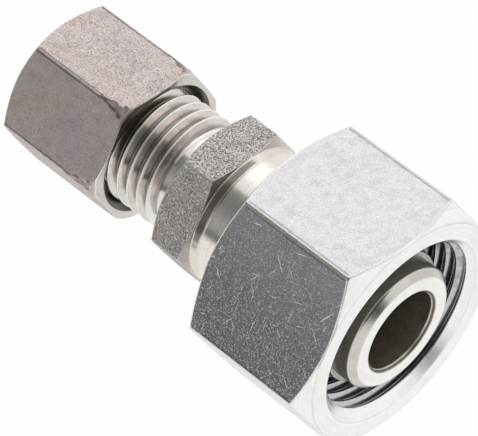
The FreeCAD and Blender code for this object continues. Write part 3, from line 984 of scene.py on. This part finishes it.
@dataclass
class SmallNut(UnionNut):
    """The small union nut, 17 mm across flats, with a long taper at its thread face.

    Attributes:
        taper_steps: Distances behind the end of the front chamfer.
        taper_radii: Radius of the taper at each of them.
        taper_start: Distance at which the rows of the taper begin.
        taper_rows: Number of its rows.
        blend: How far the taper and the flats run into each other.
        lean: How far the taper is off centre, and lean_angle the side on which it cuts deeper.
        painted_mouth_shade: Middle of the painted shade at the mouth and half its width, in
            degrees.
    """

    hexagon: Hexagon = Hexagon(17.0, 0.30, -1.5)
    thread: Thread = Thread(35.0, 120.0, 7.08, 6.35, 0.03, 36.0, 44.6, cone=44.35)
    face: float = 36.25
    length: float = 14.85
    hole: float = 4.1
    seat: float = 5.9
    thread_depth: float = 9.15
    thread_radius: float = 7.05
    entry: float = 1.05
    # The entry cone takes the near-black thread finish, as painted shade.
    entry_skin: NutSkin = NutSkin.THREAD
    front_circle: float = 8.3
    front_run: float = 0.35
    back_circle: float = 8.4
    back_run: float = 0.85
    taper_steps: tuple[float, ...] = (0.0, 0.35, 1.35, 2.55, 3.75, 4.6)
    taper_radii: tuple[float, ...] = (9.23, 9.42, 9.59, 9.70, 9.81, 9.90)
    taper_start: float = 0.35
    taper_rows: int = 26
    blend: float = 0.06
    lean: float = 0.06
    lean_angle: float = 200.0
    painted_mouth_shade: tuple[float, float] = (112.0, 26.0)

    def finishes(self) -> list[SteelFinish]:
        """Give the finishes in the order of NutSkin."""
        return [
            SteelFinish("small_nut_outside", (0.62, 0.545, 0.52), (0.58, 0.475, 0.405), 0.6, 5.0,
                0.5, grain_height=0.015, grain_size=0.14, pit_depth=0.018,
                speckle_share=0.36, tint=(0.48, 0.46, 0.50), tint_share=0.28,
                edge=(0.60, 0.58, 0.55), edge_share=0.3, seam_and_shade_share=0.7),
            # Near-black: painted shade on the thread and the entry cone inside the nut.
            SteelFinish("small_nut_thread", (0.16, 0.15, 0.13), root_shade_share=0.9, roughness=0.3,
                grain_height=0.003),
            self.bore_finish(),
            SteelFinish("small_nut_face", (0.64, 0.61, 0.57), stain_share=0.2, roughness=0.2,
                grain_height=0.002, turning_height=0.004, speckle_share=0.1,
                edge_share=0.9, edge=(0.92, 0.90, 0.86), seam_and_shade_share=0.94),
        ]

    def corners(self, outline: np.ndarray) -> list[Corner]:
        """Give the section, from the thread face round the outside and back through the bore."""
        lean = self.lean * np.cos(self.angles() - math.radians(self.lean_angle))
        # Painted shade: within this zone of angles the face, the rim and the mouth of the nut turn
        # dark.
        painted_mouth_shade = darkened(self.angles(), *self.painted_mouth_shade)
        rim = soft_minimum(self.taper_radii[0] - lean, outline, self.blend)
        rise = rim - self.front_circle
        run = self.front_run * rise / (self.taper_radii[0] - self.front_circle)
        return [
            *(Corner(self.face + share * run, self.front_circle + share * rise, 0.0, NutSkin.FACE,
                     edge=wear_and_highlight + painted_mouth_shade)
              for share, wear_and_highlight in ((0.0, 0.0), (0.3, 0.0), (0.75, 0.0), (0.92, 0.6))),
            # The rim: a pale line, partly wear and partly painted highlight, and a painted shadow
            # line in the shaded zone.
            Corner(self.face + run + 0.06, rim, 0.0, edge=0.8 + 1.4 * painted_mouth_shade),
            Corner(self.face + run + 0.15, rim, 0.06),
            *self.taper(outline, lean),
            *self.back_corners(outline, 0.12, 0.12),
            *self.bore_corners(),
            # The mouth's edge: painted shade in the zone, and pale beside it from wear and a
            # painted highlight.
            Corner(self.face + 0.1, self.mouth - 0.1, 0.0, NutSkin.FACE, edge=1.5 * painted_mouth_shade),
            Corner(self.face, self.mouth, 0.0, NutSkin.FACE, edge=0.5 + 1.5 * painted_mouth_shade),
        ]

    def taper(self, outline: np.ndarray, lean: np.ndarray) -> list[Corner]:
        """Give the rows of the taper, with a dark seam where it runs out on each flat."""
        made = []
        for step in np.linspace(self.taper_start, self.taper_steps[-1], self.taper_rows):
            cone = float(np.interp(step, self.taper_steps, self.taper_radii)) - lean
            near = np.clip(1.5 - np.abs(cone - outline) / 0.05, 0.0, 1.0)
            seam = -np.maximum(near, 0.5 * (cone < outline))
            radius = soft_minimum(cone, outline, self.blend)
            station = self.face + self.front_run + step
            made.append(Corner(station, radius, 0.0, form=Form.HEXAGON, edge=seam))
        return made


def soft_minimum(first: Values, second: Values, width: float) -> Values:
    """Give the smaller of two values, rounded: min(a, b) - max(w - |a - b|, 0)^2 / 4w."""
    overlap = np.maximum(width - np.abs(first - second), 0.0)
    return np.minimum(first, second) - overlap**2 / (4.0 * width)


@dataclass
class CuttingRing(TurnedPiece):
    """A cutting ring: sharp nose, long taper, waist, shoulder and coned rear."""

    front: float = 2.92
    length: float = 8.6
    hole: float = 7.5
    walls: tuple[float, float, float, float] = (0.55, 1.3, 1.6, 0.6)
    shoulder_width: float = 1.8

    def finishes(self) -> list[SteelFinish]:
        """Give the ring's one finish."""
        return [
            SteelFinish(f"{self.name}_finish", (0.42, 0.40, 0.36), stain_share=0.35, roughness=0.24,
                turning_height=0.008, grain_height=0.003, speckle_share=0.1)
        ]

    def corners(self, outline: np.ndarray) -> list[Corner]:
        """Give the section, with a shallow groove round the nose behind the cutting edge."""
        edge, waist, shoulder, rear = self.walls
        taper = self.front + (waist - edge) / math.tan(HALF_CONE)
        last = self.front + self.length
        step = last - (shoulder - rear)
        return [
            Corner(self.front, self.hole + edge, 0.05),
            Corner(self.front + 0.9, self.hole + edge + 0.19, 0.03),
            Corner(self.front + 1.1, self.hole + edge + 0.08, 0.03),
            Corner(self.front + 1.5, self.hole + edge + 0.32, 0.03),
            Corner(taper, self.hole + waist, 0.15),
            Corner(step - self.shoulder_width - (shoulder - waist), self.hole + waist, 0.1),
            Corner(step - self.shoulder_width, self.hole + shoulder, 0.1),
            Corner(step, self.hole + shoulder, 0.15),
            Corner(last, self.hole + rear, 0.08),
            Corner(last, self.hole - 0.02, 0.03),
            Corner(self.front, self.hole - 0.02, 0.03),
        ]


@dataclass(frozen=True)
class Camera:
    """The photograph's viewpoint, measured in millimetres, degrees and picture points."""

    azimuth: float = 43.20
    elevation: float = 47.60
    roll: float = 2.17
    focal: float = 3744.0
    depth: float = 400.6
    aim: tuple[float, float] = (228.12, 201.52)
    picture: tuple[float, float] = (478.0, 436.0)
    sensor: float = 36.0

    def build(self, placing: Placing) -> None:
        """Set the camera so that the middle of the part's axis lands on the aim."""
        turn, lift, roll = map(math.radians, (self.azimuth, self.elevation, self.roll))
        flat = math.cos(lift)
        back = Vector((math.sin(turn) * flat, -math.cos(turn) * flat, math.sin(lift)))
        level = Vector((math.cos(turn), math.sin(turn), 0.0))
        upright = back.cross(level)
        right = math.cos(roll) * level + math.sin(roll) * upright
        up = -math.sin(roll) * level + math.cos(roll) * upright
        width, height = self.picture
        across = (self.aim[0] - width / 2.0) * self.depth / self.focal
        above = (height / 2.0 - self.aim[1]) * self.depth / self.focal
        middle = Vector((0.0, 0.0, placing.height))
        place = middle + (back * self.depth - right * across - up * above) * MM
        data = bpy.data.cameras.new("camera")
        data.sensor_fit = "HORIZONTAL"
        data.sensor_width = self.sensor
        data.lens = self.focal * self.sensor / width
        data.clip_start = 0.01
        camera = add_object("camera", data)
        camera.matrix_world = Matrix((*zip(right, up, back, place), (0.0, 0.0, 0.0, 1.0)))
        bpy.context.scene.camera = camera


@dataclass(frozen=True)
class Studio:
    """A white floor and sky, soft lamps, and cards that only the steel reflects.

    Lengths are in metres. The near card arches over the axis at card_radius, with a grey for
    each of its angles, in degrees. Each lamp has a name, place, size and radiance.
    """

    floor_size: float = 3.0
    floor_colour: Colour = (0.86, 0.86, 0.86)
    floor_share: float = 0.97
    sky: float = 0.75
    card_radius: float = 0.14
    card_angles: tuple[float, ...] = (100.0, 110.0, 125.0, 140.0, 150.0, 163.0, 171.0, 186.0)
    card_greys: tuple[float, ...] = (0.30, 0.22, 0.22, 0.28, 0.42, 0.42, 0.15, 0.12)
    card_reach: tuple[float, float] = (-0.20, 0.02)
    dark_place: tuple[float, float, float] = (0.186, -0.114, 0.207)
    dark_half: float = 0.16
    dark_grey: float = 0.05
    lamps: tuple[tuple, ...] = (
        ("key", (-0.16, 0.20, 0.34), 0.26, 0.4),
        ("fill", (0.30, -0.05, 0.30), 0.20, 0.2),
    )

    def build(self) -> None:
        """Make the floor, the cards, the lamps and the sky."""
        bpy.context.scene.view_settings.view_transform = "Standard"
        self.floor()
        self.near_card()
        self.camera_card()
        for lamp in self.lamps:
            self.lamp(*lamp)
        self.world()

    def sheet(self, name: str, corners: list, faces: list) -> tuple[bpy.types.Object, Graph]:
        """Make one open sheet of the stage, and the empty node tree of its material."""
        mesh = bpy.data.meshes.new(name)
        mesh.from_pydata(corners, [], faces)
        made = add_object(name, mesh)
        mesh.materials.append(bpy.data.materials.new(name))
        return made, Graph(mesh.materials[0])

    def floor(self) -> None:
        """Lay a floor that looks white to the camera and in the steel, and keeps its shadow."""
        _, graph = self.sheet("floor", square(self.floor_size / 2.0), [(0, 1, 2, 3)])
        paint = graph.signal("ShaderNodeBsdfDiffuse", {"Color": self.floor_colour})
        white = graph.signal("ShaderNodeEmission", {"Color": WHITE, "Strength": 1.0})
        inputs = {0: self.seen(graph) * self.floor_share, 1: paint, 2: white}
        surface = graph.signal("ShaderNodeMixShader", inputs)
        graph.node("ShaderNodeOutputMaterial", {"Surface": surface})

    def near_card(self) -> None:
        """Arch a card over the near left, whose grey changes from row to row."""
        corners = [
            (along, self.card_radius * math.cos(turn), self.card_radius * max(math.sin(turn), 0.0))
            for turn in map(math.radians, self.card_angles)
            for along in self.card_reach
        ]
        faces = [(row, row + 1, row + 3, row + 2) for row in range(0, len(corners) - 2, 2)]
        self.card("near_card", corners, faces, np.repeat(self.card_greys, 2))

    def camera_card(self) -> None:
        """Hold a dark card round the camera, square to the line from the part."""
        middle = Vector(self.dark_place)
        turn = middle.to_track_quat("Z", "Y")
        corners = [middle + turn @ Vector(corner) for corner in square(self.dark_half)]
        self.card("camera_card", corners, [(0, 1, 2, 3)], np.repeat(self.dark_grey, 4))

    def card(self, name: str, corners: list, faces: list, greys: np.ndarray) -> None:
        """Make a card that glows in a grey of its own at each corner, for reflections only."""
        card, graph = self.sheet(name, corners, faces)
        card.visible_camera = False
        card.visible_diffuse = False
        card.visible_shadow = False
        card.data.attributes.new("grey", "FLOAT", "POINT").data.foreach_set("value", greys)
        inputs = {"Color": graph.mark("grey", "Color"), "Strength": 1.0}
        light = graph.signal("ShaderNodeEmission", inputs)
        graph.node("ShaderNodeOutputMaterial", {"Surface": light})

    def seen(self, graph: Graph) -> Signal:
        """Give 1 for rays from the camera, from gloss and from glass, and 0 for the rest."""
        rays = graph.node("ShaderNodeLightPath").outputs
        camera, gloss, glass = (
            Signal(graph, rays[f"Is {kind} Ray"]) for kind in ("Camera", "Glossy", "Transmission")
        )
        return graph.maths("MAXIMUM", graph.maths("MAXIMUM", camera, gloss), glass)

    def lamp(self, name: str, place: tuple, size: float, radiance: float) -> None:
        """Hang a square lamp that faces the part; its power is radiance * pi * area."""
        data = bpy.data.lights.new(name, "AREA")
        data.size = size
        data.energy = radiance * math.pi * size**2
        lamp = add_object(name, data)
        lamp.location = place
        lamp.rotation_euler = (-Vector(place)).to_track_quat("-Z", "Y").to_euler()

    def world(self) -> None:
        """Make the sky white where it is seen and a little lower as a light."""
        world = bpy.data.worlds.new("sky")
        graph = Graph(world)
        light, white = (
            graph.signal("ShaderNodeBackground", {"Color": WHITE, "Strength": strength})
            for strength in (self.sky, 1.0)
        )
        surface = graph.signal("ShaderNodeMixShader", {0: self.seen(graph), 1: light, 2: white})
        graph.node("ShaderNodeOutputWorld", {"Surface": surface})
        bpy.context.scene.world = world


def square(half: float) -> list[tuple[float, float, float]]:
    """Give the corners of a flat square from half its side."""
    return [(x * half, y * half, 0.0) for x, y in ((-1, -1), (1, -1), (1, 1), (-1, 1))]


def main() -> None:
    """Build the camera, the pieces and the studio."""
    logging.basicConfig(level=logging.INFO, format="%(name)s: %(message)s")
    placing = Placing.from_frame()
    Camera().build(placing)
    small_ring = {
        "front": 38.67, "length": 8.1, "hole": 4.05,
        "walls": (0.4, 1.15, 1.65, 0.4), "shoulder_width": 1.6,
    }
    for kind, name, node, body, slot, sizes in (
        (FittingBody, "fitting_body_steel", "fitting_body", "fitting", "body_steel", {}),
        (LargeNut, "large_union_nut_steel", "large_union_nut", "large_nut", "large_nut_steel", {}),
        (SmallNut, "small_union_nut_steel", "small_union_nut", "small_nut", "small_nut_steel", {}),
        (CuttingRing, "large_ring_steel", "large_cutting_ring", "fitting", "ring_steel", {}),
        (CuttingRing, "small_ring_steel", "small_cutting_ring", "small_ring", "ring_steel",
         small_ring),
    ):
        kind(placing, name, node, body, slot, **sizes).build()
    Studio().build()


if __name__ == "__main__":
    main()
